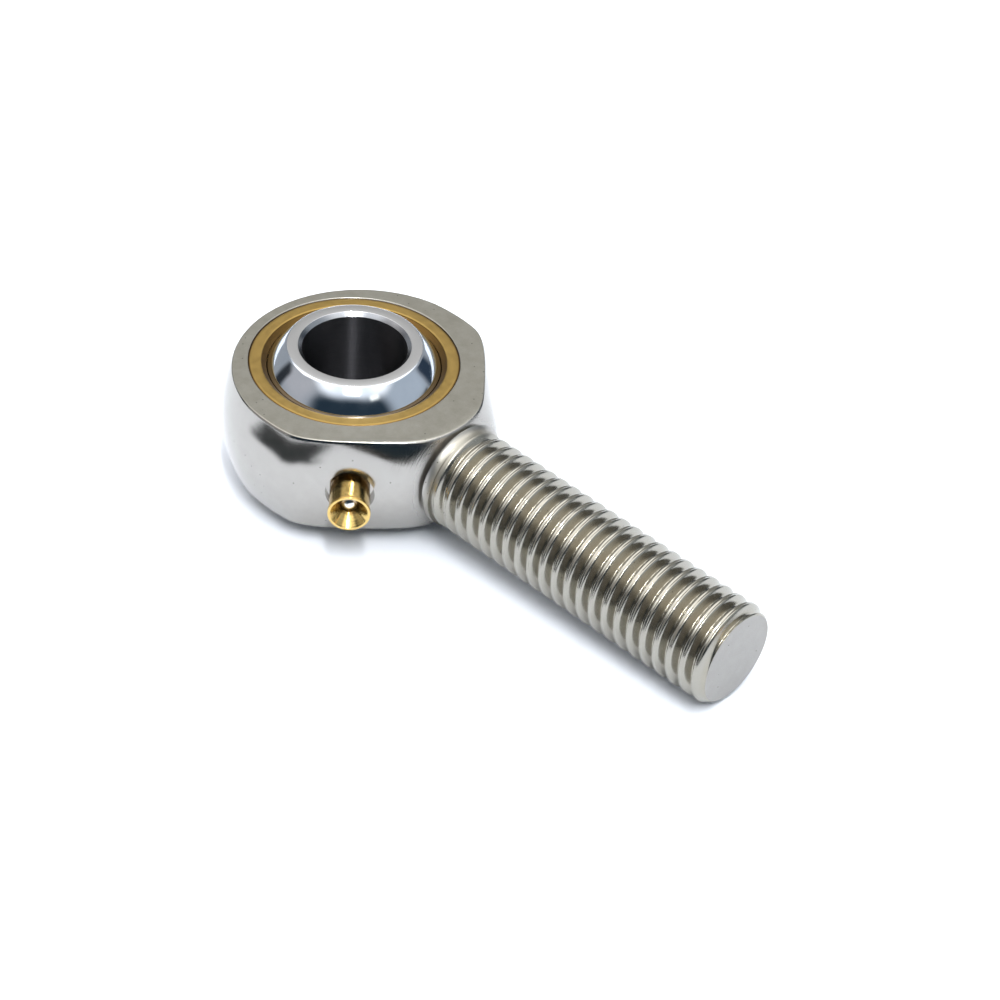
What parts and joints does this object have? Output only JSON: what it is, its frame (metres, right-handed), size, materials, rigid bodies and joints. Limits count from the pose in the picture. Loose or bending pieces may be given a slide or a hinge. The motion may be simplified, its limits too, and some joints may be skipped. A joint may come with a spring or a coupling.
{
  "type": "rod end bearing",
  "caption": "Male rod end bearing: a pierced ball held in a brass race inside a threaded steel head, with a side grease nipple.",
  "frame": {"origin": "centre of the ball, where a pivot pin through its bore would hold the part", "axes": "+X along the shank towards its threaded end, +Z along the ball's bore, +Y completes the right-handed frame; the grease nipple points to -Y and +X"},
  "size_m": [0.0602, 0.0272, 0.014],
  "materials": {
    "nickel_plated_steel": "bright nickel plating, satin on the machined flats",
    "race_brass": "turned brass, satin",
    "bearing_steel": "ground and polished bearing steel",
    "grease": "amber grease",
    "nipple_brass": "bright turned brass",
    "check_ball_steel": "polished",
    "spring_steel": "drawn wire"
  },
  "bodies": {
    "housing": {"housing": "nickel_plated_steel", "race": "race_brass", "grease_nipple": "nipple_brass", "nipple_spring": "spring_steel"},
    "grease_film": {"grease_film": "grease"},
    "ball": {"ball": "bearing_steel"},
    "check_ball": {"nipple_check_ball": "check_ball_steel"}
  },
  "joints": [
    {"name": "ball_swivel", "type": "hinge", "parent": "housing", "child": "grease_film", "pos_m": [0, 0, 0], "axis": [0, 0, 1], "continuous": true},
    {"name": "ball_tilt", "type": "hinge", "parent": "grease_film", "child": "ball", "pos_m": [0, 0, 0], "axis": [0, 1, 0], "range_deg": [-14, 14]},
    {"name": "check_ball_slide", "type": "slide", "parent": "housing", "child": "check_ball", "axis": [-0.7071, 0.7071, 0], "range_m": [0, 0.0006], "stiffness_N_per_m": 500, "springref_m": -0.0003, "deforming": ["nipple_spring"]}
  ]
}
